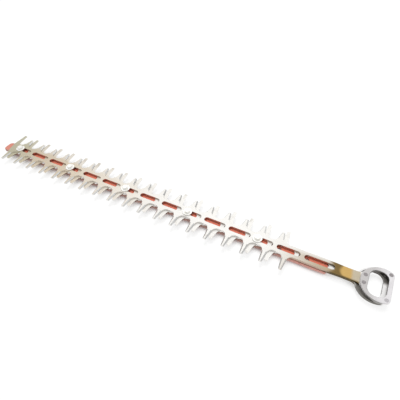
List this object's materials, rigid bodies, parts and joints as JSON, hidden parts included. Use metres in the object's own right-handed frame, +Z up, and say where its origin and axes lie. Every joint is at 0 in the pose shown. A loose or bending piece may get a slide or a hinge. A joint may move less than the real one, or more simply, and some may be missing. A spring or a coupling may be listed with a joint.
{
  "type": "hedge trimmer blade",
  "caption": "Double-sided hedge trimmer cutter: two slotted toothed blades with riveted drive yokes, sliding on bolt collars over a painted guide bar.",
  "frame": {"origin": "midway between the two gear case holes, on the guide bar's underside", "axes": "+X along the cutter from its tip towards the drive yokes, +Z up through the guide bar and both blades, +Y to the upper blade's short teeth"},
  "size_m": [0.8297, 0.083, 0.0224],
  "materials": {
    "blade_steel": "ground, dull",
    "yoke_steel": "ground, dull",
    "rivet_steel": "dark, as headed",
    "collar_steel": "turned",
    "plated_steel": "zinc plated",
    "red_paint": "satin paint",
    "ring_plastic": "moulded"
  },
  "bodies": {
    "guide_bar": {"guide_bar": "red_paint", "blade_bolts": "plated_steel", "bolt_washers": "plated_steel", "lock_nuts": "plated_steel", "nut_lock_rings": "ring_plastic", "slide_collar_1": "collar_steel", "slide_collar_2": "collar_steel", "slide_collar_3": "collar_steel", "slide_collar_4": "collar_steel", "slide_collar_5": "collar_steel"},
    "upper_blade": {"upper_blade": "blade_steel", "upper_yoke_plate": "yoke_steel", "upper_yoke_rivets": "rivet_steel"},
    "lower_blade": {"lower_blade": "blade_steel", "lower_yoke_plate": "yoke_steel", "lower_yoke_rivets": "rivet_steel"}
  },
  "joints": [
    {"name": "upper_blade_slide", "type": "slide", "parent": "guide_bar", "child": "upper_blade", "axis": [1, 0, 0], "range_m": [-0.0237, 0.0007]},
    {"name": "lower_blade_slide", "type": "slide", "parent": "guide_bar", "child": "lower_blade", "axis": [1, 0, 0], "range_m": [-0.0142, 0.0102]}
  ]
}
